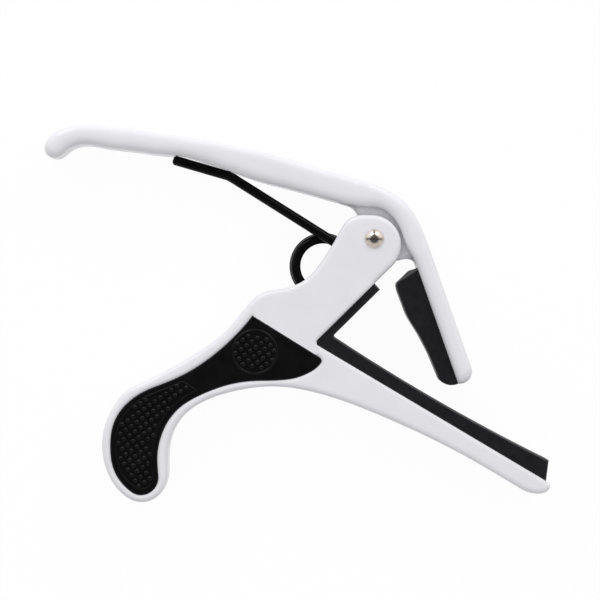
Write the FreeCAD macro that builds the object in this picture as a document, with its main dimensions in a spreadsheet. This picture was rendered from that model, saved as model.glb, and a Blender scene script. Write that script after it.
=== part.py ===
import FreeCAD, Part
import math
import os
from FreeCAD import Vector

# Spring capo for a guitar neck.  It lies on its side: X and Y are the plane in
# which it opens, Z is the axis of the pivot rivet.  The drawings are laid out
# from the rivet's axis; "pivot_x" and "pivot_y" put the footprint's centre on
# the origin, and the lower rivet head stands on Z = 0.

doc = FreeCAD.newDocument("capo")
sheet = doc.addObject("Spreadsheet::Sheet", "Sizes")

SIZES = [
    # placing
    ("pivot_x", 17.33), ("pivot_y", 16.76),
    # castings
    ("frame_thick", 13.4), ("slot_wide", 7.6), ("rim_round", 0.95), ("seat_ledge", 0.2),
    ("cheek_radius", 6.7), ("handle_drop", 59.3), ("handle_reach", 61.3),
    ("bar_long", 60.8), ("bar_angle", 30.7), ("post_long", 19.2), ("seat_x", -13.6),
    ("seat_y", -23.5),
    ("lever_wide", 13.4), ("tongue_gap", 0.2), ("boss_radius", 5.0),
    ("lever_round", 1.4), ("lever_reach", 74.3), ("nose_back", 2.4),
    ("arm_long", 28.9), ("arm_thick", 4.0), ("arm_angle", 70.6),
    # rivet
    ("shaft_radius", 1.6), ("shaft_play", 0.05), ("seat_play", 0.01),
    ("head_radius", 2.2), ("head_high", 1.2),
    # spring
    ("wire_radius", 1.0), ("coil_x", -11.5), ("coil_y", -6.17),
    ("coil_inner", 6.0), ("coil_outer", 6.8), ("coil_pitch", 2.18), ("coil_high", 2.66), ("anchor_drop", 0.3),
    ("leg_angle", 147.8), ("leg_long", 28.8), ("tip_angle", 163.8), ("tip_long", 13.2),
    ("leg_bend", 5.0), ("anchor_angle", 225.0), ("anchor_long", 11.5),
    ("anchor_gap", 0.05), ("coil_gap", 0.45), ("split_angle", 20.0), ("split_gap", 1.0),
    # rubbers and inlays
    ("pad_wide", 12.8), ("pad_thick", 3.06), ("post_thick", 1.85),
    ("face_radius", 440.0), ("face_low", 25.0), ("end_slope", 1.9), ("neck_pad_wide", 10.4), ("neck_pad_bevel", 0.9),
    ("neck_pad_thick", 6.5), ("inlay_deep", 1.2), ("inlay_proud", 0.15),
    ("inlay_bevel", 0.2), ("rubber_bevel", 0.3), ("rubber_corner", 0.45), ("rubber_turn", 0.8), ("tip_bevel", 0.4),
]
for row, (alias, value) in enumerate(SIZES, start=1):
    sheet.set("A%d" % row, alias)
    sheet.set("B%d" % row, str(value))
    sheet.setAlias("B%d" % row, alias)
doc.recompute()


def size(alias):
    return float(getattr(sheet, alias))


def towards(angle, length=1.0):
    return Vector(length * math.cos(math.radians(angle)), length * math.sin(math.radians(angle)), 0)


def place(piece):
    """Stand the piece's own origin, which is the pivot, in the part's frame."""
    piece.setExpression("Placement.Base.x", "Sizes.pivot_x")
    piece.setExpression("Placement.Base.y", "Sizes.pivot_y")
    piece.setExpression("Placement.Base.z", "Sizes.frame_thick / 2 + Sizes.head_high")


def new_body(label):
    body = doc.addObject("PartDesign::Body", label)
    body.Label = label
    place(body)
    return body


def plane(body, role):
    return [item for item in body.Origin.OriginFeatures if item.Role == role][0]


def sketch_on(body, role, name, curves, height=None):
    """A sketch on one of the body's own origin planes, lifted by an expression."""
    sketch = body.newObject("Sketcher::SketchObject", name)
    sketch.AttachmentSupport = (plane(body, role), [""])
    sketch.MapMode = "FlatFace"
    if height:
        sketch.setExpression("AttachmentOffset.Base.z", height)
    for curve in curves:
        sketch.addGeometry(curve, False)
    doc.recompute()
    return sketch


def pad(body, sketch, name, length, symmetric=True):
    feature = body.newObject("PartDesign::Pad", name)
    feature.Profile = sketch
    if symmetric:
        feature.SideType = "Symmetric"
    feature.setExpression("Length", length)
    doc.recompute()
    return feature


def pocket(body, sketch, name, length, symmetric=True, upward=False):
    before = body.Shape.Volume
    feature = body.newObject("PartDesign::Pocket", name)
    feature.Profile = sketch
    if symmetric:
        feature.SideType = "Symmetric"
    feature.Reversed = upward
    feature.setExpression("Length", length)
    doc.recompute()
    if feature.Shape.Volume > before - 1e-3:
        raise RuntimeError(name + " cuts nothing")
    return feature


def fillet(body, base, name, radius, wanted):
    """Round the edges of the last feature that the test picks."""
    names = ["Edge%d" % (i + 1) for i, edge in enumerate(base.Shape.Edges) if wanted(edge)]
    feature = body.newObject("PartDesign::Fillet", name)
    feature.Base = (base, names)
    feature.setExpression("Radius", radius)
    doc.recompute()
    return feature


def bevel(body, base, name, width, wanted):
    """Bevel the edges of the last feature that the test picks."""
    names = ["Edge%d" % (i + 1) for i, edge in enumerate(base.Shape.Edges) if wanted(edge)]
    feature = body.newObject("PartDesign::Chamfer", name)
    feature.Base = (base, names)
    feature.setExpression("Size", width)
    doc.recompute()
    return feature


def middle(edge):
    return edge.valueAt((edge.FirstParameter + edge.LastParameter) / 2)


def point(pair):
    return Vector(pair[0], pair[1], 0)


def arc_from(a, direction, b):
    """Arc, or line, that leaves a in a direction and ends at b."""
    chord = b - a
    side = direction.x * chord.y - direction.y * chord.x
    if abs(side) < 1e-4 * chord.Length:
        return Part.LineSegment(a, b)
    radius = chord.Length ** 2 / (2 * side)
    centre = a + Vector(-direction.y, direction.x, 0) * radius
    out = (a + chord / 2 - centre)
    if out.Length < 1e-6 or direction.dot(chord) < 0:
        out = out * -1 if out.Length > 1e-6 else direction
    return Part.Arc(a, centre + out * (abs(radius) / out.Length), b)


def smooth(spots, start, end):
    """Arcs that run smoothly into each other, two to each span between the points.
    A curve through the points, which leaves and arrives in the given directions,
    sets the direction at each point."""
    lengths = [0.0]
    for a, b in zip(spots, spots[1:]):
        lengths.append(lengths[-1] + (b - a).Length)
    guide = Part.BSplineCurve()
    guide.interpolate(Points=spots, Parameters=lengths, InitialTangent=towards(start),
                      FinalTangent=towards(end), Scale=False)
    ways = [guide.tangent(place_on)[0] for place_on in lengths]
    arcs = []
    for a, b, go, come in zip(spots, spots[1:], ways, ways[1:]):
        chord, both = b - a, go + come
        lean, close = chord.dot(both), 2 * (1 - go.dot(come))
        if close < 1e-9:
            reach = chord.dot(chord) / (4 * chord.dot(go))
        else:
            reach = (-lean + math.sqrt(lean * lean + close * chord.dot(chord))) / close
        joint = (a + go * reach + b - come * reach) / 2
        first = arc_from(a, go, joint)
        arcs += [first, arc_from(joint, (b - come * reach - a - go * reach).normalize(), b)]
    return arcs


def loop(*runs):
    """Closed outline.  A run is the points it goes through: two make a line,
    more make smooth arcs, with the directions of the two ends in degrees."""
    curves = []
    for run in runs:
        spots = [point(p) for p in run["to"]]
        if len(spots) == 2:
            curves.append(Part.LineSegment(spots[0], spots[1]))
        elif run.get("arc"):
            curves.append(Part.Arc(*spots))
        else:
            curves += smooth(spots, run["start"], run["end"])
    return curves


def line(*spots):
    return {"to": spots}


def arc(*spots):
    return {"to": spots, "arc": True}


def curve(*spots, **ends):
    return dict(ends, to=spots)


def heading(a, b):
    """Direction in degrees from one point to another."""
    return math.degrees(math.atan2(b[1] - a[1], b[0] - a[0]))


def along(start, angle, length, side=0.0):
    """Point at a length along a direction, moved off to its left by side."""
    spot = Vector(start[0], start[1], 0) + towards(angle, length) + towards(angle + 90, side)
    return (spot.x, spot.y)


def round_hole(radius):
    return [Part.Circle(Vector(0, 0, 0), Vector(0, 0, 1), radius)]


# --- shared lines -----------------------------------------------------------
CORNER = (size("seat_x"), size("seat_y"))          # where post and bar seats meet
BAR = -size("bar_angle")                            # down and to the right
CHEEK = (-0.65, -1.3)                               # middle of the cheeks' round end
# The post's seat runs up to the right and meets the cheeks' round end as a tangent.
POST = heading(CORNER, CHEEK) - math.degrees(math.asin(
    size("cheek_radius") / math.dist(CORNER, CHEEK)))
BAR_END = along(CORNER, BAR, size("bar_long"))
POST_TOP = along(CORNER, POST, size("post_long"))
ARM = -size("arm_angle")                            # the arm's inner face, downwards
ARM_TOP = (9.35, -5.35)
ARM_SEAT = along(ARM_TOP, ARM, 1.25)
ARM_END = along(ARM_TOP, ARM, size("arm_long"))
COIL = (size("coil_x"), size("coil_y"))


def handle_edges():
    """The handle under the coil, from the cheek round its hook to the bar."""
    reach, drop = size("handle_reach"), size("handle_drop")
    upper = curve((-3.6, 5.3), (-5.45, 4.6), (-8.6, 0.2), (-11.4, -4.4), (-15.1, -8.8),
                  (-20.2, -11.1), (-25.3, -12.2), (-29.0, -15.5), (-32.8, -20.1), (-38.3, -24.6),
                  (-45.8, -29.1), (-54.5, -33.4), start=178)
    hook = curve((-54.5, -33.4), (2.3 - reach, -38.1), (-reach, -45.6),
                 (-reach + 1.75, -53.8), (-56.9, 2.0 - drop), (-52.7, -drop),
                 (-48.7, 1.4 - drop), (-46.75, 4.9 - drop), (-46.6, -49.5))
    lower = curve((-46.6, -49.5), (-45.7, -44.3), (-43.2, -40.1), (-38.6, -36.7), (-31.1, -34.2),
                  (-22.5, -33.25), (-12.2, -34.9), (3.96, -40.9), along(BAR_END, BAR, -18.82, -4.5),
                  along(BAR_END, BAR, -5.73, -4.4))
    return upper, hook, lower


def make_frame():
    """Handle, cheeks, post and string bar: one casting with a slot for the lever."""
    body = new_body("frame")
    cheek = size("cheek_radius")
    right, top = along(CHEEK, POST - 90, cheek), along(CHEEK, 90, cheek)
    upper, hook, lower = handle_edges()
    tip = along(BAR_END, BAR, 0.55)
    outline = loop(
        arc(right, along(CHEEK, 20, cheek), top),
        curve(top, *upper["to"], start=180, end=205),
        curve(*hook["to"], start=205, end=88),
        curve(*lower["to"], start=88, end=-31),
        curve(lower["to"][-1], along(BAR_END, BAR, -2.76, -4.32), along(BAR_END, BAR, -0.2, -3.45),
              along(BAR_END, BAR, 1.45, -1.75), along(BAR_END, BAR, 1.45, -0.55), tip,
              start=-31, end=180 + BAR),
        line(tip, CORNER), line(CORNER, right))
    whole = pad(body, sketch_on(body, "XY_Plane", "frame_outline", outline),
                "frame_casting", "Sizes.frame_thick")
    face = size("frame_thick") / 2
    fillet(body, whole, "frame_rim", "Sizes.rim_round",
           lambda edge: abs(abs(middle(edge).z) - face) < 1e-3)
    deep = size("rim_round") + size("seat_ledge")
    bisector = (POST + BAR) / 2 + 180
    root = along(CORNER, bisector, deep / math.sin(math.radians((POST - BAR) / 2)))
    upper_turn = along(CORNER, POST, size("rubber_turn"))
    lower_turn = along(CORNER, BAR, size("rubber_turn"))
    ledge = loop(
        line(lower_turn, upper_turn), line(upper_turn, POST_TOP), line(POST_TOP, along(POST_TOP, POST, 0, deep)),
        line(along(POST_TOP, POST, 0, deep), root), line(root, along(BAR_END, BAR, 0, -deep)),
        line(along(BAR_END, BAR, 0, -deep), BAR_END), line(BAR_END, lower_turn))
    pad(body, sketch_on(body, "XY_Plane", "ledge_outline", ledge), "rubber_seat",
        "Sizes.frame_thick")
    wall = size("wire_radius") + size("anchor_gap")
    out = size("coil_outer") + wall
    foot = along(COIL, -45, out)
    inner = along(foot, 225, size("anchor_long") + 1.2)
    room = out + size("coil_gap")
    slot = loop(
        line((-30, 12), (12, 12)), line((12, 12), (12, -6.4)),
        line((12, -6.4), along(foot, 45, 4.6)),
        line(along(foot, 45, 4.6), inner),
        arc(inner, along(inner, 225, 1.35, -1.35), along(inner, 135, 2.7)),
        line(along(inner, 135, 2.7), along(COIL, 238, room)),
        arc(along(COIL, 238, room), along(COIL, 215, room), along(COIL, 192, room)),
        line(along(COIL, 192, room), (-30, 12)))
    pocket(body, sketch_on(body, "XY_Plane", "slot_outline", slot), "lever_slot",
           "Sizes.slot_wide")
    for name, height, upward in (("front", "Sizes.frame_thick / 2", False),
                                 ("back", "-Sizes.frame_thick / 2", True)):
        seat = sketch_on(body, "XY_Plane", name + "_recess_outline", inlay_outline(), height)
        pocket(body, seat, name + "_recess", "Sizes.inlay_deep", False, upward)
    bore = sketch_on(body, "XY_Plane", "rivet_bore_outline",
                     round_hole(size("shaft_radius") + size("seat_play")))
    pocket(body, bore, "rivet_bore", "Sizes.frame_thick + 2")
    return body


def inlay_outline():
    """The grip inlay follows the handle's outline, a rim's width inside it."""
    left, low = 1.85 - size("handle_reach"), 1.6 - size("handle_drop")
    top, toe = (-27.45, -17.25), (-12.75, -26.35)
    return loop(
        line(top, toe),
        curve(toe, (-11.85, -27.3), (-12.35, -28.4), (-14.5, -30.05), (-17.4, -31.25),
              (-20.8, -31.8), (-29.3, -32.2), (-38.3, -34.8), (-44.9, -39.1), (-48.2, -45.2),
              (-48.8, -50.5), (-49.3, low + 1.7), (-52.5, low), (-56.3, 2.1 + low),
              (left + 0.9, -52.2), (left, -46.6), (left + 0.85, -41.3), (-54.1, -35.7),
              (-45.1, -31.55), (-36.1, -26.05), (-30.5, -20.9), top, start=heading(top, toe), end=55))


def make_inlay(label, front):
    body = new_body(label)
    if front:
        height = "Sizes.frame_thick / 2 - Sizes.inlay_deep"
    else:
        height = "-Sizes.frame_thick / 2 - Sizes.inlay_proud"
    sketch = sketch_on(body, "XY_Plane", label + "_outline", inlay_outline(), height)
    slab = pad(body, sketch, label + "_slab", "Sizes.inlay_deep + Sizes.inlay_proud", False)
    face = size("frame_thick") / 2 + size("inlay_proud")
    bevel(body, slab, label + "_edge", "Sizes.inlay_bevel",
          lambda edge: abs(abs(middle(edge).z) - face) < 1e-3)
    return body


def leg_line():
    """Where the spring's long leg leaves the coil, and where it bends along the lever."""
    touch = coil_spot(0)
    return touch, touch + towards(size("leg_angle"), size("leg_long"))


def make_lever():
    """Squeeze handle and arm: a wide flange on a tongue that turns in the slot."""
    body = new_body("lever")
    bend = leg_line()[1]

    def over(across, up):
        return (bend.x - across, bend.y + up)
    reach, thick = size("lever_reach"), size("arm_thick")
    setback = size("nose_back")
    outer_end = along(ARM_END, ARM, -setback, thick)
    nose = (setback ** 2 + thick ** 2) / (2 * thick)
    half_turn = (90 - math.degrees(math.atan2(thick - nose, setback))) / 2
    nose_tip = along(along(ARM_END, ARM, -setback, thick - nose), ARM + half_turn, nose)
    shoulder = along(ARM_TOP, ARM, 4.0, thick)
    flange = loop(
        curve(shoulder, (10.7, 2.4), (8.15, 6.9), (4.1, 10.4), (-6.8, 14.35), (-23.0, 19.05),
              (-39.2, 22.45), (-55.4, 24.9), (8.3 - reach, 25.8), start=180 + ARM, end=180),
        curve((8.3 - reach, 25.8), (4.4 - reach, 24.95), (0.9 - reach, 22.7), (-reach, 20.4),
              (0.55 - reach, 18.95), (2.15 - reach, 18.35), (3.9 - reach, 19.0), start=180, end=40),
        curve((3.9 - reach, 19.0), (5.6 - reach, 20.4), (8.3 - reach, 21.3), (-60.8, 20.7),
              (-54.0, 19.85), over(14.7, 4.74), over(10.2, 4.39), over(5.7, 3.09), over(1.2, 1.59),
              over(-4.6, -0.46), (-17.6, 10.95), (-7.4, 8.15), start=40, end=-14),
        curve((-7.4, 8.15), (-1.7, 7.35), (1.6, 6.95), (4.3, 4.85), (5.9, 2.3), (6.6, 0.3),
              (7.7, -2.4), ARM_TOP, start=-14, end=ARM),
        line(ARM_TOP, ARM_END),
        arc(ARM_END, nose_tip, outer_end),
        line(outer_end, shoulder))
    shell = pad(body, sketch_on(body, "XY_Plane", "flange_outline", flange),
                "flange", "Sizes.lever_wide")
    face = size("lever_wide") / 2

    fillet(body, shell, "lever_rounding", "Sizes.lever_round",
           lambda edge: abs(abs(middle(edge).z) - face) < 1e-3)
    boss = size("boss_radius")
    web = loop(
        curve((-11.0, 10.6), (-9.6, 9.1), (-7.2, 7.95), (-5.1, 7.2), (-3.9, 5.9),
              (-3.55, boss - 1.45), start=-60, end=-100),
        curve((-3.55, boss - 1.45), along((0, 0), 180, boss), along((0, 0), 225, boss),
              along((0, 0), 270, boss), start=-135, end=0),
        line(along((0, 0), 270, boss), (4.2, -4.95)), line((4.2, -4.95), (5.55, -4.8)),
        curve((5.55, -4.8), (7.5, -4.45), (8.7, -4.75), (9.75, -6.4), start=15, end=-70),
        line((9.75, -6.4), (11.2, -5.4)),
        curve((11.2, -5.4), (8.7, 2.6), (5.0, 7.4), (-2.0, 10.2), (-11.0, 10.6), start=109,
              end=180))
    tongue = pad(body, sketch_on(body, "XY_Plane", "web_outline", web), "tongue",
                 "Sizes.slot_wide - 2 * Sizes.tongue_gap")
    bore = sketch_on(body, "XY_Plane", "pivot_bore_outline",
                     round_hole(size("shaft_radius") + size("shaft_play")))
    pocket(body, bore, "pivot_bore", "Sizes.lever_wide + 2")
    return body


def make_rivet():
    """Domed rivet: it is seated in both cheeks and the tongue runs on it."""
    body = new_body("pivot_rivet")
    half, shaft = size("frame_thick") / 2, size("shaft_radius")
    head, high = size("head_radius"), size("head_high")
    ball = (head * head + high * high) / (2 * high)
    slant = math.asin(head / ball) / 2
    dome = (ball * math.sin(slant), half + high - ball + ball * math.cos(slant))
    sketch = sketch_on(body, "XZ_Plane", "rivet_half", loop(
        line((0, -half - high), (0, half + high)),
        arc((0, half + high), dome, (head, half)),
        line((head, half), (shaft, half)), line((shaft, half), (shaft, -half)),
        line((shaft, -half), (head, -half)),
        arc((head, -half), (dome[0], -dome[1]), (0, -half - high))))
    turn = body.newObject("PartDesign::Revolution", "rivet_turned")
    turn.Profile = sketch
    turn.ReferenceAxis = (sketch, ["V_Axis"])
    turn.Angle = 360
    doc.recompute()
    return body


def bar_face(distance):
    """Height of the string rubber's face over its seat: hollow, for a curved fretboard."""
    return size("pad_thick") + (distance - size("face_low")) ** 2 / (2 * size("face_radius"))


def off_seats(wide, *seats):
    """Test for a rubber's side edges, apart from those that lie on its seats."""
    def exposed(edge):
        spot = middle(edge)
        if abs(abs(spot.z) - wide / 2) > 1e-3:
            return False
        return all(abs((spot - point(corner)).dot(towards(way + 90))) > 0.01
                   for corner, way in seats)
    return exposed


def make_string_pad():
    """L-shaped rubber: the long leg presses the strings, the short one lines the post."""
    body = new_body("string_pad")
    thin = size("post_thick")
    end = size("bar_long") - size("end_slope")
    far = along(CORNER, BAR, end, bar_face(end))
    opening = math.radians(POST - BAR)
    inner_down = (thin + bar_face(2.7) * math.cos(opening)) / math.sin(opening)
    inner = along(CORNER, BAR, inner_down, bar_face(inner_down))
    turn = size("rubber_turn")
    outline = loop(
        line(along(CORNER, BAR, turn), BAR_END), line(BAR_END, far),
        arc(far, along(CORNER, BAR, (end + inner_down) / 2, bar_face((end + inner_down) / 2)), inner),
        line(inner, along(POST_TOP, POST, -0.1, -thin)),
        line(along(POST_TOP, POST, -0.1, -thin), POST_TOP),
        line(POST_TOP, along(CORNER, POST, turn)),
        line(along(CORNER, POST, turn), along(CORNER, BAR, turn)))
    rubber = pad(body, sketch_on(body, "XY_Plane", "string_pad_outline", outline),
                 "string_pad_rubber", "Sizes.pad_wide")
    rubber = fillet(body, rubber, "inner_corner", "Sizes.rubber_corner",
                    lambda edge: (middle(edge) - point(inner)).Length < 0.01)
    bevel(body, rubber, "string_pad_edges", "Sizes.rubber_bevel",
          off_seats(size("pad_wide"), (CORNER, BAR), (CORNER, POST)))
    return body


def make_neck_pad():
    """Contoured rubber on the arm: it bears on the back of the guitar's neck."""
    body = new_body("neck_pad")
    deep = size("neck_pad_thick")
    seat_top = ARM_SEAT
    low = ARM_END

    def spot(down, share):
        return along(seat_top, ARM, down, -deep * share)
    outline = loop(
        line(seat_top, low),
        curve(low, spot(27.5, 0.24), spot(26.3, 0.56), spot(24.7, 0.67), start=ARM - 75, end=115),
        curve(spot(24.7, 0.67), spot(19.8, 0.722), spot(14.9, 0.80), spot(12.3, 0.88),
              spot(9.6, 0.97), spot(5.0, 1.0), spot(2.0, 0.985), start=115, end=98),
        curve(spot(2.0, 0.985), spot(0.65, 0.78), spot(-0.1, 0.35), seat_top, start=85, end=20))
    rubber = pad(body, sketch_on(body, "XY_Plane", "neck_pad_outline", outline),
                 "neck_pad_rubber", "Sizes.neck_pad_wide")
    exposed = off_seats(size("neck_pad_wide"), (ARM_SEAT, ARM))
    bevel(body, rubber, "neck_pad_top", "Sizes.neck_pad_bevel", lambda edge: exposed(edge)
          and (middle(edge) - point(ARM_SEAT)).dot(towards(ARM)) < 2.0)
    return body


def coil_spot(turned):
    """Point of the wire's middle line, at an angle wound clockwise from the long leg.
    Each half turn is one tilted arc, so the turns join smoothly and sink evenly."""
    half, rest = divmod(turned, 180.0)
    grow = (size("coil_outer") - size("coil_inner")) / 5.0
    drop = size("coil_pitch") / 2
    reach = size("coil_inner") + grow * (half + 0.5)
    begins = size("leg_angle") - 90 - 180 * half
    hub = along(COIL, begins, -grow / 2)
    centre = Vector(hub[0], hub[1], size("coil_high") - drop * (half + 0.5))
    outward = towards(begins, reach) + Vector(0, 0, drop / 2)
    onward = towards(begins - 90, outward.Length)
    turn = math.radians(rest)
    return centre + outward * math.cos(turn) + onward * math.sin(turn)


def coil_arcs(start, stop):
    """The wire's arcs between two wound angles, cut at each half turn."""
    edges = []
    while start < stop - 1e-6:
        end = min(stop, 180.0 * (math.floor(start / 180.0 + 1e-9) + 1))
        last = coil_spot(end - 1e-9)
        edges.append(Part.Arc(coil_spot(start + 1e-9), coil_spot((start + end) / 2),
                              last).toShape())
        start = end
    return edges


def wire_solid(label, edges):
    """Round spring wire along lines and arcs: each run is turned or drawn by itself,
    and a ball rounds the one corner where two runs don't share a direction."""
    radius, runs = size("wire_radius"), []
    for edge in edges:
        start, stop = edge.FirstParameter, edge.LastParameter
        ring = Part.Wire(Part.makeCircle(radius, edge.valueAt(start), edge.tangentAt(start)))
        face = Part.Face(ring)
        if isinstance(edge.Curve, Part.Line):
            runs.append(face.extrude(edge.valueAt(stop) - edge.valueAt(start)))
        else:
            round_axis = edge.Curve
            angle = math.degrees(edge.Length / round_axis.Radius)
            runs.append(face.revolve(round_axis.Center, round_axis.Axis, angle))
    for before, after in zip(edges, edges[1:]):
        leaving, arriving = before.tangentAt(before.LastParameter), after.tangentAt(after.FirstParameter)
        if leaving.getAngle(arriving) > 0.02:
            runs.append(Part.makeSphere(radius, after.valueAt(after.FirstParameter)))
    piece = doc.addObject("Part::Feature", label)
    piece.Label = label
    piece.Shape = runs[0].fuse(runs[1:]).removeSplitter()
    place(piece)
    return piece


def wound():
    """Wound angles at the anchor leg and at the joint between the two pieces of wire."""
    entry = size("leg_angle") - 90
    return 720 + entry - (size("anchor_angle") + 90 - 360), 720 + entry - size("split_angle")


def make_spring():
    """Long leg under the lever, and two turns of the coil."""
    split = wound()[1]
    touch, bend = leg_line()
    turn = size("tip_angle") - size("leg_angle")
    cut = size("leg_bend") * math.tan(math.radians(turn / 2))
    tip = bend + towards(size("tip_angle"), size("tip_long"))
    into, out = bend - towards(size("leg_angle"), cut), bend + towards(size("tip_angle"), cut)
    hub = into + towards(size("leg_angle") + 90, size("leg_bend"))
    mid = hub + towards(size("leg_angle") - 90 + turn / 2, size("leg_bend"))
    edges = [Part.LineSegment(tip, out).toShape(), Part.Arc(out, mid, into).toShape(),
             Part.LineSegment(into, touch).toShape()]
    spring = wire_solid("torsion_spring", edges + coil_arcs(0, split))
    rim = [edge for edge in spring.Shape.Edges if edge.isClosed()
           and abs(edge.BoundBox.Center.sub(tip + spring.Placement.Base).Length) < 0.01]
    spring.Shape = spring.Shape.makeChamfer(size("tip_bevel"), rim)
    return spring


def make_anchor():
    """The wire's other end: it lies in the frame's slot and bears on the post's wall."""
    last, split = wound()
    leave = coil_spot(last)
    foot = leave + towards(size("anchor_angle"), size("anchor_long"))
    edges = coil_arcs(split + size("split_gap"), last) + [Part.LineSegment(leave, foot).toShape()]
    for edge in edges:
        edge.translate(Vector(0, 0, -size("anchor_drop")))
    return wire_solid("spring_anchor", edges)


pieces = [make_frame(), make_lever(), make_rivet(), make_spring(), make_anchor(),
          make_string_pad(), make_neck_pad(), make_inlay("grip_front", True),
          make_inlay("grip_back", False)]
doc.recompute()

for item in doc.Objects:
    if "Invalid" in item.State or "Error" in item.State:
        raise RuntimeError("%s failed: %s" % (item.Name, item.State))
for piece in pieces:
    if piece.Shape.isNull() or not piece.Shape.isValid() or len(piece.Shape.Solids) != 1:
        raise RuntimeError(piece.Label + " is not one valid solid")

os.makedirs("parts", exist_ok=True)
for piece in pieces:
    piece.Shape.exportStep("parts/%s.step" % piece.Label)
    print("%-16s %9.1f mm3" % (piece.Label, piece.Shape.Volume))
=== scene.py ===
import math

import bpy
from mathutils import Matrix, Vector


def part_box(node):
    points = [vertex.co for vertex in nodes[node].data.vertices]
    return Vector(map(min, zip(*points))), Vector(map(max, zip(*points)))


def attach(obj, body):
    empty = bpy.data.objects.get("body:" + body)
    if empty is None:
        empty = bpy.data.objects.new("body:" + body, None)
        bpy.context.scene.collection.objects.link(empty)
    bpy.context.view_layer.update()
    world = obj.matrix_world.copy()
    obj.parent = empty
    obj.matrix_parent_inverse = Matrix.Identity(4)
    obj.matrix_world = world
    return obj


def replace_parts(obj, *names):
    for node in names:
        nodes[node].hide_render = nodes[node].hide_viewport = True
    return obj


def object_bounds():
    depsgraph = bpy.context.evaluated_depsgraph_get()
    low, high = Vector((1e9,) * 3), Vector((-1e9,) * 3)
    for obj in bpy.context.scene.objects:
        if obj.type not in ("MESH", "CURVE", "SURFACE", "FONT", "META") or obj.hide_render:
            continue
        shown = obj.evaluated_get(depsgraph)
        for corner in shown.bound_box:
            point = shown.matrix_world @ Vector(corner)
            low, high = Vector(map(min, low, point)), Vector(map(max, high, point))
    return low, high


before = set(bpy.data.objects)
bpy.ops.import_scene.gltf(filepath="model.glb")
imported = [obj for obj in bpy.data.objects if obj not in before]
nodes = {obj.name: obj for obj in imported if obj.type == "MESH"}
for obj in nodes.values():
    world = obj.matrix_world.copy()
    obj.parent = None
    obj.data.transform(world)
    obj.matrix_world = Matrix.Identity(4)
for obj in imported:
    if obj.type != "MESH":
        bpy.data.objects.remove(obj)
cad_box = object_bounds()
MM = 0.001
RIVET = (Vector(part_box("pivot_rivet")[0]) + Vector(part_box("pivot_rivet")[1])) / 2
GRIP_TOP = RIVET + Vector((-27.45, -17.25, 0)) * MM      # the ends of the grip's straight side
GRIP_TOE = RIVET + Vector((-12.75, -26.35, 0)) * MM


# ---------------------------------------------------------------- materials

BEVEL_SAMPLES = 8
HIGHLIGHT_BY, HIGHLIGHT_FROM = 0.82, 0.985                         # how a corner's turn fades in as a painted highlight
CRISP_WIDE, CRISP_FADE = 2.2 * MM, 0.1 * MM              # the strip beside the grip's straight side
CRISP_ENDS, CRISP_END_FADE = 0.3 * MM, 0.5 * MM
FRAME_CORNER, LEVER_CORNER = 1.5 * MM, 3.0 * MM          # how far each finish rounds its edges
RUBBER_CORNER, GRIP_CORNER = 0.6 * MM, 0.22 * MM


def material(name):
    """New material with its shader and the object's own coordinates."""
    made = bpy.data.materials.new(name)
    made.use_nodes = True
    tree = made.node_tree
    shader = tree.nodes["Principled BSDF"]
    place = tree.nodes.new("ShaderNodeTexCoord").outputs["Object"]
    return made, tree, shader, place


def noise(tree, place, scale, detail=3.0, roughness=0.55):
    """Fractal pattern over the object's own coordinates."""
    node = tree.nodes.new("ShaderNodeTexNoise")
    node.inputs["Scale"].default_value = scale
    node.inputs["Detail"].default_value = detail
    node.inputs["Roughness"].default_value = roughness
    tree.links.new(place, node.inputs["Vector"])
    return node.outputs["Fac"]


def spread(tree, value, low, high, start=0.3, stop=0.7):
    """Maps a pattern's middle range to a range of its own."""
    node = tree.nodes.new("ShaderNodeMapRange")
    for label, number in (("From Min", start), ("From Max", stop), ("To Min", low), ("To Max", high)):
        node.inputs[label].default_value = number
    tree.links.new(value, node.inputs["Value"])
    return node.outputs["Result"]


def tint(tree, value, dark, light, start=0.3, stop=0.7):
    """Colours a pattern from a dark to a light tone."""
    node = tree.nodes.new("ShaderNodeValToRGB")
    ramp = node.color_ramp.elements
    ramp[0].position, ramp[1].position = start, stop
    ramp[0].color, ramp[1].color = (*dark, 1), (*light, 1)
    tree.links.new(value, node.inputs["Fac"])
    return node.outputs["Color"]


def maths(tree, kind, first, second=None):
    """One step of arithmetic between two values."""
    node = tree.nodes.new("ShaderNodeMath")
    node.operation = kind
    for socket, value in zip(node.inputs, (first, second)):
        if isinstance(value, (int, float)):
            socket.default_value = value
        elif value is not None:
            tree.links.new(value, socket)
    return node.outputs[0]


def bump(tree, height, depth, below=None):
    """Small relief from a pattern, on top of another surface direction if one is given."""
    node = tree.nodes.new("ShaderNodeBump")
    node.inputs["Strength"].default_value = 1.0
    node.inputs["Distance"].default_value = depth
    tree.links.new(height, node.inputs["Height"])
    if below is not None:
        tree.links.new(below, node.inputs["Normal"])
    return node.outputs["Normal"]


def rounded(tree, radius):
    """Surface direction with every corner softened, and how far it turns there."""
    node = tree.nodes.new("ShaderNodeBevel")
    node.samples = BEVEL_SAMPLES
    node.inputs["Radius"].default_value = radius
    plain = tree.nodes.new("ShaderNodeNewGeometry").outputs["Normal"]
    match = tree.nodes.new("ShaderNodeVectorMath")
    match.operation = "DOT_PRODUCT"
    tree.links.new(node.outputs["Normal"], match.inputs[0])
    tree.links.new(plain, match.inputs[1])
    # how far the corner turns: the mask for the painted highlights along corners
    edge = spread(tree, match.outputs["Value"], 1, 0, HIGHLIGHT_BY, HIGHLIGHT_FROM)
    return node.outputs["Normal"], plain, edge


def painted_highlight(tree, colour, edge, pale):
    """Painted highlight: fades a colour to a paler one where the given mask is high, such as along the
    corners.
    """
    node = tree.nodes.new("ShaderNodeMix")
    node.data_type = "RGBA"
    tree.links.new(edge, node.inputs[0])
    tree.links.new(colour, node.inputs[6])
    node.inputs[7].default_value = (*pale, 1)
    return node.outputs[2]


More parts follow.
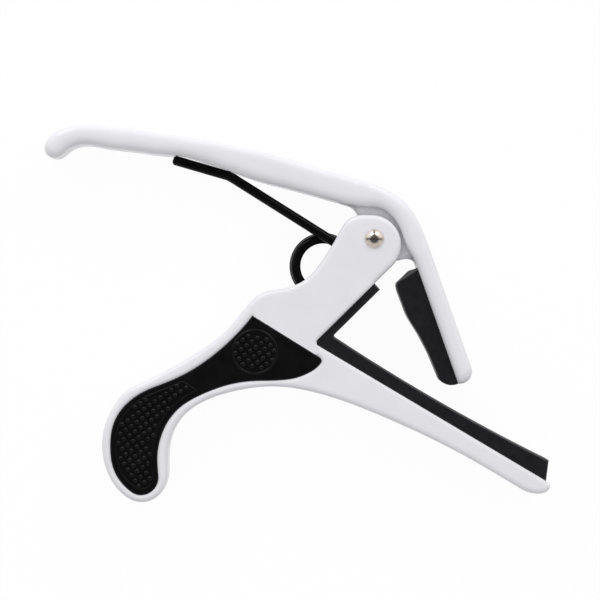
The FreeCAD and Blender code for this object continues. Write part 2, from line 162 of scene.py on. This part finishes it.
def beside(tree, place, start, end, width):
    """1 within a width of the left side of a straight line of the drawing, else 0."""
    run = Vector(end) - Vector(start)
    along = run.normalized()
    across = Vector((-along.y, along.x, 0))
    shares = []
    for direction, low, high in ((across, -CRISP_FADE, width),
                                 (along, CRISP_ENDS, run.length - CRISP_ENDS)):
        offset = tree.nodes.new("ShaderNodeVectorMath")
        offset.operation = "SUBTRACT"
        tree.links.new(place, offset.inputs[0])
        offset.inputs[1].default_value = start
        measure = tree.nodes.new("ShaderNodeVectorMath")
        measure.operation = "DOT_PRODUCT"
        tree.links.new(offset.outputs["Vector"], measure.inputs[0])
        measure.inputs[1].default_value = direction
        shares.append(spread(tree, measure.outputs["Value"], 0, 1, low, low + CRISP_FADE))
        shares.append(spread(tree, measure.outputs["Value"], 1, 0, high - CRISP_END_FADE, high))
    share = shares[0]
    for other in shares[1:]:
        share = maths(tree, "MULTIPLY", share, other)
    return share


def white_paint(name, corner):
    """Thick gloss paint over a casting, which softens every edge by a radius of its own,
    but not the pocket's edge along the grip's straight side."""
    made, tree, shader, place = material(name)
    crisp = beside(tree, place, GRIP_TOP, GRIP_TOE, CRISP_WIDE)
    mottle = noise(tree, place, 130, 2)
    tree.links.new(tint(tree, mottle, (0.735, 0.728, 0.770), (0.762, 0.756, 0.796)),
                   shader.inputs["Base Color"])
    tree.links.new(spread(tree, noise(tree, place, 420, 3), 0.30, 0.40), shader.inputs["Roughness"])
    soft, plain, _ = rounded(tree, corner)
    blend = tree.nodes.new("ShaderNodeMix")
    blend.data_type = "VECTOR"
    tree.links.new(crisp, blend.inputs[0])
    tree.links.new(soft, blend.inputs[4])
    tree.links.new(plain, blend.inputs[5])
    peel = bump(tree, noise(tree, place, 900, 2), 0.012 * MM, blend.outputs[1])
    tree.links.new(bump(tree, noise(tree, place, 4200, 2), 0.0015 * MM, peel), shader.inputs["Normal"])
    shader.inputs["Specular IOR Level"].default_value = 0.45
    shader.inputs["Coat Weight"].default_value = 0.25
    shader.inputs["Coat Roughness"].default_value = 0.14
    return made


def black_rubber():
    """Matt rubber with a random dusty tone, and a painted highlight along its corners and where it
    faces +Y, towards the lamps.
    """
    made, tree, shader, place = material("black_rubber")
    soft, plain, edge = rounded(tree, RUBBER_CORNER)
    ways = tree.nodes.new("ShaderNodeSeparateXYZ")
    tree.links.new(plain, ways.inputs[0])
    # painted highlight: paler along the corners and on faces turned to +Y, where the lamps are
    highlight_mask = maths(tree, "MAXIMUM", edge, spread(tree, ways.outputs["Y"], 0, 1, 0.30, 0.52))
    dust = noise(tree, place, 700, 5, 0.65)
    colour = tint(tree, dust, (0.0058, 0.0052, 0.0074), (0.0100, 0.0090, 0.0124), 0.35, 0.75)
    tree.links.new(painted_highlight(tree, colour, highlight_mask, (0.058, 0.052, 0.055)),
                   shader.inputs["Base Color"])
    tree.links.new(spread(tree, noise(tree, place, 300, 3), 0.42, 0.56), shader.inputs["Roughness"])
    grain = bump(tree, noise(tree, place, 5200, 3, 0.7), 0.010 * MM, soft)
    tree.links.new(grain, shader.inputs["Normal"])
    shader.inputs["Specular IOR Level"].default_value = 0.34
    shader.inputs["Sheen Weight"].default_value = 0.04
    return made


def grip_plastic():
    """Satin plastic, with a painted highlight along the edges of its raised texture."""
    made, tree, shader, place = material("grip_plastic")
    edge = rounded(tree, GRIP_CORNER)[2]
    colour = tint(tree, noise(tree, place, 260, 3), (0.0020, 0.0020, 0.0023),
                  (0.0036, 0.0035, 0.0040))
    # painted highlight: the base colour turns paler along the edges of the raised texture
    tree.links.new(painted_highlight(tree, colour, edge, (0.030, 0.029, 0.031)), shader.inputs["Base Color"])
    tree.links.new(spread(tree, noise(tree, place, 500, 3), 0.29, 0.37), shader.inputs["Roughness"])
    tree.links.new(bump(tree, noise(tree, place, 3600, 3, 0.6), 0.004 * MM), shader.inputs["Normal"])
    shader.inputs["Specular IOR Level"].default_value = 0.32
    return made


def spring_wire():
    """Smooth black enamel."""
    made, tree, shader, place = material("spring_wire")
    tree.links.new(tint(tree, noise(tree, place, 380, 3), (0.0030, 0.0026, 0.0028),
                        (0.0055, 0.0048, 0.0050)), shader.inputs["Base Color"])
    tree.links.new(spread(tree, noise(tree, place, 800, 3), 0.16, 0.24), shader.inputs["Roughness"])
    tree.links.new(bump(tree, noise(tree, place, 1500, 2), 0.004 * MM), shader.inputs["Normal"])
    shader.inputs["Specular IOR Level"].default_value = 0.07
    return made


def nickel():
    """Warm polished metal."""
    made, tree, shader, place = material("nickel")
    tree.links.new(tint(tree, noise(tree, place, 900, 4), (0.76, 0.66, 0.58), (0.88, 0.80, 0.73)),
                   shader.inputs["Base Color"])
    tree.links.new(spread(tree, noise(tree, place, 1600, 3), 0.16, 0.25), shader.inputs["Roughness"])
    tree.links.new(bump(tree, noise(tree, place, 2600, 3), 0.004 * MM), shader.inputs["Normal"])
    shader.inputs["Metallic"].default_value = 1.0
    return made


PAINT = white_paint("white_paint", FRAME_CORNER)
LEVER_PAINT = white_paint("lever_paint", LEVER_CORNER)
RUBBER, GRIP, WIRE, NICKEL = black_rubber(), grip_plastic(), spring_wire(), nickel()
FINISH = {"frame": PAINT, "lever": LEVER_PAINT, "string_pad": RUBBER, "neck_pad": RUBBER,
          "grip_front": GRIP, "grip_back": GRIP, "torsion_spring": WIRE, "spring_anchor": WIRE,
          "pivot_rivet": NICKEL}
for label, finish in FINISH.items():
    for holder in nodes[label].material_slots:
        holder.material = finish


# ---------------------------------------------------------------- modelling helpers

MERGE = 1e-6                                             # points closer than this are one


def nothing_selected():
    if bpy.context.object and bpy.context.object.mode != "OBJECT":
        bpy.ops.object.mode_set(mode="OBJECT")
    bpy.ops.object.select_all(action="DESELECT")


def only(piece):
    """Selects one piece and nothing else."""
    nothing_selected()
    piece.select_set(True)
    bpy.context.view_layer.objects.active = piece
    return piece


def settle(piece, name, finish, body, angle=35):
    """Places the mesh for good and gives the piece its finish and its body."""
    only(piece)
    bpy.ops.object.transform_apply(location=True, rotation=True, scale=True)
    bpy.ops.object.shade_smooth_by_angle(angle=math.radians(angle))
    piece.name = name
    piece.data.name = name
    piece.data.materials.clear()
    piece.data.materials.append(finish)
    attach(piece, body)
    return piece


def own_copy(node):
    """Copy of a node's mesh to shape further, as closed faces."""
    nothing_selected()
    copy = nodes[node].copy()
    copy.data = nodes[node].data.copy()
    copy.parent = None
    bpy.context.scene.collection.objects.link(copy)
    only(copy)
    bpy.ops.mesh.customdata_custom_splitnormals_clear()
    bpy.ops.object.mode_set(mode="EDIT")
    bpy.ops.mesh.select_mode(type="FACE")
    bpy.ops.mesh.select_all(action="SELECT")
    bpy.ops.mesh.remove_doubles(threshold=MERGE)
    bpy.ops.object.mode_set(mode="OBJECT")
    return copy


def inside(spot, edge):
    """Whether a point of the drawing lies inside a closed outline."""
    within = False
    for a, b in zip(edge, edge[1:] + edge[:1]):
        if (a.y > spot.y) != (b.y > spot.y):
            if spot.x < a.x + (spot.y - a.y) * (b.x - a.x) / (b.y - a.y):
                within = not within
    return within


def gap_to(spot, edge):
    """Distance from a point of the drawing to an outline."""
    nearest = 1.0
    for a, b in zip(edge, edge[1:] + edge[:1]):
        run = b - a
        share = max(0.0, min(1.0, (spot - a).dot(run) / max(run.length_squared, 1e-18)))
        nearest = min(nearest, (spot - a - run * share).length)
    return nearest


# ---------------------------------------------------------------- grips

FACE_UP, FACE_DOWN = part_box("grip_front")[1][2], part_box("grip_back")[0][2]
MIDDLE = (FACE_UP + FACE_DOWN) / 2
THUMB = RIVET + Vector((-26.91, -25.43, 0)) * MM
THUMB_RADIUS = 4.9 * MM
ROWS_TILT = math.radians(-10.8)
STUD_PITCH, STUD_ROWS = 2.1 * MM, 1.08 * MM
STUD_RADIUS, STUD_HIGH = 0.52 * MM, 0.3 * MM
STUD_MARGIN, STUD_SUNK = 0.5 * MM, 0.02 * MM             # to the field's edge, and into the grip
LATTICE_REACH = 60                                       # rows and columns each way
RING_THICK, RING_FLAT = 0.27 * MM, 0.8
PALM_END = RIVET + Vector((-40.85, -32.25, 0)) * MM      # the palm's field is cut off here
PALM_END_WAY = (0.54, 0.84, 0)
PALM_MARGIN, PALM_MERGE = 0.95 * MM, 0.15 * MM
LINE_WIDE, LINE_HIGH, LINE_ROUND = 0.36 * MM, 0.25 * MM, 0.16 * MM


def raised_ring():
    """Thin raised ring round the thumb's field of studs."""
    nothing_selected()
    bpy.ops.mesh.primitive_torus_add(major_radius=THUMB_RADIUS, minor_radius=RING_THICK,
                                     major_segments=72, minor_segments=12,
                                     location=(THUMB.x, THUMB.y, FACE_UP))
    ring = bpy.context.object
    bpy.ops.object.mode_set(mode="EDIT")
    bpy.ops.mesh.select_all(action="SELECT")
    bpy.ops.transform.resize(value=(1, 1, RING_FLAT))
    bpy.ops.object.mode_set(mode="OBJECT")
    return ring


def keep_largest(piece):
    """Keeps only the largest face of a mesh in edit mode, and selects it."""
    piece.update_from_editmode()
    bpy.ops.object.mode_set(mode="OBJECT")
    largest = max(piece.data.polygons, key=lambda face: face.area).index
    for face in piece.data.polygons:
        face.select = face.index != largest
    bpy.ops.object.mode_set(mode="EDIT")
    bpy.ops.mesh.delete(type="FACE")
    bpy.ops.mesh.select_all(action="SELECT")


def palm_field():
    """Outline of the studded field in the hook, a margin inside the grip's own edge,
    and the thin raised line along it."""
    copy = own_copy("grip_front")
    for face in copy.data.polygons:
        face.select = not (face.normal.z > 0.99 and face.center.z > FACE_UP - STUD_SUNK)
    bpy.ops.object.mode_set(mode="EDIT")
    bpy.ops.mesh.delete(type="FACE")
    bpy.ops.mesh.select_all(action="SELECT")
    bpy.ops.mesh.dissolve_limited(angle_limit=math.radians(1))
    keep_largest(copy)
    bpy.ops.mesh.bisect(plane_co=PALM_END, plane_no=PALM_END_WAY, clear_outer=True,
                        use_fill=False)
    keep_largest(copy)
    bpy.ops.mesh.inset(thickness=PALM_MARGIN, depth=0, use_boundary=True)
    keep_largest(copy)
    bpy.ops.mesh.remove_doubles(threshold=PALM_MERGE)
    copy.update_from_editmode()
    edge = [copy.data.vertices[i].co.to_2d() for i in copy.data.polygons[0].vertices]
    bpy.ops.mesh.select_all(action="SELECT")
    bpy.ops.mesh.inset(thickness=LINE_WIDE, depth=0, use_boundary=True)
    bpy.ops.mesh.delete(type="FACE")
    bpy.ops.mesh.select_all(action="SELECT")
    bpy.ops.mesh.delete_loose()
    bpy.ops.mesh.select_all(action="SELECT")
    bpy.ops.mesh.extrude_region_move(TRANSFORM_OT_translate={"value": (0, 0, LINE_HIGH)})
    bpy.ops.object.mode_set(mode="OBJECT")
    only(copy)
    soften = copy.modifiers.new("soften", "BEVEL")
    soften.width = LINE_ROUND
    soften.segments = 3
    soften.limit_method = "ANGLE"
    soften.angle_limit = math.radians(50)
    bpy.ops.object.modifier_apply(modifier=soften.name)
    bpy.ops.object.mode_set(mode="EDIT")
    bpy.ops.mesh.select_all(action="SELECT")
    bpy.ops.mesh.remove_doubles(threshold=0.004 * MM)
    bpy.ops.mesh.dissolve_degenerate(threshold=0.001 * MM)
    bpy.ops.object.mode_set(mode="OBJECT")
    return copy, edge


def stud():
    """One small round stud, cut flat where it leaves the grip."""
    nothing_selected()
    bpy.ops.mesh.primitive_uv_sphere_add(segments=10, ring_count=8, radius=STUD_RADIUS)
    dome = bpy.context.object
    bpy.ops.object.mode_set(mode="EDIT")
    bpy.ops.mesh.select_all(action="SELECT")
    bpy.ops.mesh.bisect(plane_co=(0, 0, -STUD_SUNK), plane_no=(0, 0, 1), clear_inner=True,
                        use_fill=True)
    bpy.ops.mesh.select_all(action="SELECT")
    bpy.ops.transform.resize(value=(1, 1, STUD_HIGH / STUD_RADIUS))
    bpy.ops.object.mode_set(mode="OBJECT")
    return dome


def stud_field(spots, dome):
    """Copies the stud to every spot and joins the copies."""
    studs = []
    for spot in spots:
        one = dome.copy()
        one.data = dome.data.copy()
        one.location = (spot.x, spot.y, FACE_UP)
        bpy.context.scene.collection.objects.link(one)
        studs.append(one)
    nothing_selected()
    for one in studs:
        one.select_set(True)
    bpy.context.view_layer.objects.active = studs[0]
    bpy.ops.object.join()
    only(studs[0])
    bpy.ops.object.transform_apply(location=True, rotation=True, scale=True)
    return studs[0]


def lattice(reach):
    """Staggered rows of spots round the thumb's field, tilted as on the grip."""
    along = Vector((math.cos(ROWS_TILT), math.sin(ROWS_TILT)))
    across = Vector((-along.y, along.x))
    spots = []
    for row in range(-reach, reach + 1):
        for column in range(-reach, reach + 1):
            shift = 0.5 * ((row + 1) % 2)
            spots.append(THUMB.to_2d() + along * (column + shift) * STUD_PITCH
                         + across * row * STUD_ROWS)
    return spots


def turned_over(piece):
    """Copy of a front piece on the back grip, mirrored in the middle plane."""
    copy = piece.copy()
    copy.data = piece.data.copy()
    bpy.context.scene.collection.objects.link(copy)
    only(copy)
    bpy.ops.object.mode_set(mode="EDIT")
    bpy.ops.mesh.select_all(action="SELECT")
    bpy.ops.transform.mirror(constraint_axis=(False, False, True), center_override=(0, 0, MIDDLE))
    bpy.ops.mesh.flip_normals()
    bpy.ops.object.mode_set(mode="OBJECT")
    return copy


ring = raised_ring()
palm_line, palm_edge = palm_field()
dome = stud()
spots = lattice(LATTICE_REACH)
thumb_studs = stud_field([spot for spot in spots
                          if (spot - THUMB.to_2d()).length < THUMB_RADIUS - STUD_MARGIN], dome)
palm_studs = stud_field([spot for spot in spots
                         if inside(spot, palm_edge) and gap_to(spot, palm_edge) > STUD_MARGIN], dome)
for piece, label in ((ring, "thumb_ring"), (palm_line, "palm_line"), (thumb_studs, "thumb_studs"),
                     (palm_studs, "palm_studs")):
    back = turned_over(piece)
    settle(piece, label + "_front", GRIP, "frame")
    settle(back, label + "_back", GRIP, "frame")
only(dome)
bpy.ops.object.delete()


# ---------------------------------------------------------------- neck rubber

RUBBER_LOW, RUBBER_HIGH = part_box("neck_pad")
ARM_TOP = RIVET + Vector((9.70, -6.84, 0)) * MM          # where the rubber starts on the arm
ARM_NORMAL = Vector((-0.943, -0.332, 0))                 # from the arm into the rubber
SHOULDER_TOP, SHOULDER_REACH = -4.0 * MM, 6.5 * MM       # from here down its face is drawn in
HOLLOW_HIGH, HOLLOW_REACH = -27.8 * MM, 4.0 * MM         # and a little more above its foot
SLIMMER, HOLLOW_DEEP = 0.62 * MM, 0.2 * MM
SEAM, SUNK = 0.3 * MM, 0.6 * MM                          # its foot, and how far that sinks in
CORNER_CUT = RIVET + Vector((6.42, -8.60, 0)) * MM       # the top corner is cut off here
CORNER_WAY = (-0.683, 0.731, 0)
RUBBER_ROUND, ROUND_STEPS = 0.4 * MM, 2
END_WAY = Vector((-0.54, 0.84, 0)).normalized()          # the rubber's upper end looks this way
END_FACET = 0.85 * MM                                    # and has a slanted facet on both sides


def neck_rubber():
    """Moulded block on the lever's arm: its section is cut from the solid's middle,
    drawn in from the shoulder down, sunk into the arm, cut off at the top corner,
    pulled out to the full width again, rounded and bevelled at its upper end."""
    block = own_copy("neck_pad")
    middle = (RUBBER_LOW[2] + RUBBER_HIGH[2]) / 2
    bpy.ops.object.mode_set(mode="EDIT")
    bpy.ops.mesh.select_all(action="SELECT")
    bpy.ops.mesh.bisect(plane_co=(0, 0, middle), plane_no=(0, 0, 1), use_fill=True, clear_outer=True)
    bpy.ops.mesh.select_all(action="DESELECT")
    bpy.ops.object.mode_set(mode="OBJECT")
    for face in block.data.polygons:
        face.select = abs(face.center.z - middle) > 0.01 * MM
    bpy.ops.object.mode_set(mode="EDIT")
    bpy.ops.mesh.delete(type="FACE")
    bpy.ops.mesh.select_all(action="SELECT")
    bpy.ops.mesh.dissolve_limited(angle_limit=math.radians(1))
    bpy.ops.object.mode_set(mode="OBJECT")
    for point in block.data.vertices:
        out = (point.co - ARM_TOP).dot(ARM_NORMAL)
        below = (RIVET.y + SHOULDER_TOP - point.co.y) / SHOULDER_REACH
        hollow = 1 - abs(point.co.y - RIVET.y - HOLLOW_HIGH) / HOLLOW_REACH
        slimmer = SLIMMER * max(0.0, min(1.0, below)) + HOLLOW_DEEP * max(0.0, hollow)
        point.co.x += slimmer * max(0.0, min(1.0, out / MM - 1.5))
        if out < SEAM:
            point.co -= ARM_NORMAL * SUNK
    bpy.ops.object.mode_set(mode="EDIT")
    bpy.ops.mesh.select_all(action="SELECT")
    bpy.ops.mesh.bisect(plane_co=CORNER_CUT, plane_no=CORNER_WAY, clear_outer=True,
                        use_fill=False)
    bpy.ops.mesh.select_all(action="SELECT")
    bpy.ops.mesh.remove_doubles(threshold=RUBBER_ROUND)
    bpy.ops.transform.translate(value=(0, 0, RUBBER_LOW[2] + RUBBER_ROUND - middle))
    bpy.ops.mesh.extrude_region_move(TRANSFORM_OT_translate={
        "value": (0, 0, RUBBER_HIGH[2] - RUBBER_LOW[2] - 2 * RUBBER_ROUND)})
    bpy.ops.mesh.select_all(action="SELECT")
    bpy.ops.mesh.normals_make_consistent(inside=False)
    for side in (1, -1):
        bpy.ops.mesh.select_all(action="DESELECT")
        bpy.ops.object.mode_set(mode="OBJECT")
        for face in block.data.polygons:
            face.select = face.normal.z * side > 0.99
        bpy.ops.object.mode_set(mode="EDIT")
        for step in range(ROUND_STEPS):
            start, stop = (math.pi / 2 * turn / ROUND_STEPS for turn in (step, step + 1))
            bpy.ops.mesh.inset(thickness=RUBBER_ROUND * (math.cos(start) - math.cos(stop)),
                               depth=RUBBER_ROUND * (math.sin(stop) - math.sin(start)))
    bpy.ops.object.mode_set(mode="OBJECT")
    tip = max(point.co.dot(END_WAY) for point in block.data.vertices)
    bpy.ops.object.mode_set(mode="EDIT")
    for side, face in ((1, RUBBER_HIGH[2]), (-1, RUBBER_LOW[2])):
        bpy.ops.mesh.select_all(action="SELECT")
        bpy.ops.mesh.bisect(plane_co=END_WAY * (tip - END_FACET) + Vector((0, 0, face)),
                            plane_no=END_WAY + Vector((0, 0, side)), clear_outer=True,
                            use_fill=True)
    bpy.ops.object.mode_set(mode="OBJECT")
    return block


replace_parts(settle(neck_rubber(), "neck_rubber", RUBBER, "lever", 20), "neck_pad")


# ---------------------------------------------------------------- spring

ENAMEL = 0.10 * MM


def enamelled_wire():
    """The spring's wire with a thick coat of enamel on it."""
    wire = own_copy("torsion_spring")
    bpy.ops.object.mode_set(mode="EDIT")
    bpy.ops.mesh.select_all(action="SELECT")
    bpy.ops.mesh.normals_make_consistent(inside=False)
    bpy.ops.transform.shrink_fatten(value=ENAMEL)
    bpy.ops.object.mode_set(mode="OBJECT")
    return wire


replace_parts(settle(enamelled_wire(), "spring_coil", WIRE, "spring"), "torsion_spring")


# ---------------------------------------------------------------- floor, light, camera

PAPER, PAPER_SEEN = 0.88, 0.96                           # its own tone, and the share that glows
FLOOR_SIZE, FLOOR_DROP = 6, 0.0002
WHITE = (1, 1, 1, 1)
CENTRE = Vector((0.0006, 0.003, 0.0146))                 # what the lamps and the camera look at
BOX_SIZE = 0.35
SENSOR, CAMERA_FAR, FIELD_WIDE = 36, 0.7, 0.135


def joined(tree, share, first, second):
    """Mixes two shaders by a share of the second."""
    node = tree.nodes.new("ShaderNodeMixShader")
    tree.links.new(share, node.inputs["Fac"])
    tree.links.new(first.outputs[0], node.inputs[1])
    tree.links.new(second.outputs[0], node.inputs[2])
    return node


def mirror_rays(tree, path):
    """1 for rays that a reflection or a clear body sends out, else 0."""
    return maths(tree, "MAXIMUM", path.outputs["Is Glossy Ray"], path.outputs["Is Transmission Ray"])


def floor_paper():
    """Pale paper that shows as an even white ground, and still takes soft shadows' light."""
    made, tree, shader, _ = material("floor_paper")
    shader.inputs["Base Color"].default_value = (PAPER, PAPER, PAPER, 1)
    shader.inputs["Roughness"].default_value = 0.9
    shader.inputs["Specular IOR Level"].default_value = 0.0
    paper = tree.nodes.new("ShaderNodeEmission")
    paper.inputs["Strength"].default_value = 1.0
    path = tree.nodes.new("ShaderNodeLightPath")
    seen = maths(tree, "MAXIMUM", path.outputs["Is Camera Ray"], mirror_rays(tree, path))
    mix = joined(tree, maths(tree, "MULTIPLY", seen, PAPER_SEEN), shader, paper)
    tree.links.new(mix.outputs[0], tree.nodes["Material Output"].inputs["Surface"])
    return made


nothing_selected()
bpy.ops.mesh.primitive_plane_add(size=FLOOR_SIZE, location=(0, 0, cad_box[0][2] - FLOOR_DROP))
floor = bpy.context.object
floor.name = "floor"
floor.data.materials.append(floor_paper())


def background(tree):
    node = tree.nodes.new("ShaderNodeBackground")
    node.inputs["Color"].default_value = WHITE
    return node


def studio():
    """White for the camera, soft light from above and ahead, and for reflections
    bright panels with dark gaps between them and a dark middle behind the lens."""
    world = bpy.context.scene.world or bpy.data.worlds.new("studio")
    bpy.context.scene.world = world
    world.use_nodes = True
    tree = world.node_tree
    tree.nodes.clear()
    path = tree.nodes.new("ShaderNodeLightPath")
    ways = tree.nodes.new("ShaderNodeSeparateXYZ")
    tree.links.new(tree.nodes.new("ShaderNodeTexCoord").outputs["Generated"], ways.inputs[0])
    aside, ahead, above = ways.outputs["X"], ways.outputs["Y"], ways.outputs["Z"]
    seen, mirrored, soft = (background(tree) for _ in range(3))
    seen.inputs["Strength"].default_value = 1.0
    lens_side = spread(tree, above, 1.0, 0.10, 0.58, 0.80)
    gap_sides = spread(tree, maths(tree, "ABSOLUTE", ahead), 0.10, 1.0, 0.08, 0.24)
    gap_top = maths(tree, "MAXIMUM",
                    spread(tree, maths(tree, "ABSOLUTE", aside), 0.10, 1.0, 0.05, 0.16),
                    spread(tree, ahead, 1.0, 0.0, -0.1, 0.0))
    lower = spread(tree, ahead, 0.62, 1.0, -0.3, 0.2)
    panels = maths(tree, "MULTIPLY", maths(tree, "MULTIPLY", gap_sides, gap_top), lower)
    tree.links.new(maths(tree, "MULTIPLY", lens_side, panels), mirrored.inputs["Strength"])
    tree.links.new(maths(tree, "ADD", spread(tree, above, 0.0, 0.70, 0.0, 1.0),
                         spread(tree, ahead, 0.0, 0.80, -1.0, 1.0)), soft.inputs["Strength"])
    around = joined(tree, mirror_rays(tree, path), soft, mirrored)
    shown = joined(tree, path.outputs["Is Camera Ray"], around, seen)
    output = tree.nodes.new("ShaderNodeOutputWorld")
    tree.links.new(shown.outputs[0], output.inputs["Surface"])


studio()


def softbox(name, spot, watts):
    """Square lamp aimed at the middle of the part."""
    data = bpy.data.lights.new(name, "AREA")
    data.shape = "RECTANGLE"
    data.size, data.size_y, data.energy = BOX_SIZE, BOX_SIZE, watts
    lamp = bpy.data.objects.new(name, data)
    lamp.location = spot
    lamp.rotation_euler = (CENTRE - spot).to_track_quat("-Z", "Y").to_euler()
    bpy.context.scene.collection.objects.link(lamp)


softbox("key_left", CENTRE + Vector((-0.40, 0.86, 0.56)), 2.2)
softbox("key_right", CENTRE + Vector((0.46, 0.82, 0.56)), 1.8)

data = bpy.data.cameras.new("camera")
data.sensor_width = SENSOR
data.lens = SENSOR * CAMERA_FAR / FIELD_WIDE
data.clip_start = 0.05
camera = bpy.data.objects.new("camera", data)
camera.location = CENTRE + Vector((0, 0, CAMERA_FAR))
camera.rotation_euler = (0, 0, 0)
bpy.context.scene.collection.objects.link(camera)
bpy.context.scene.camera = camera
bpy.context.scene.view_settings.view_transform = "Standard"
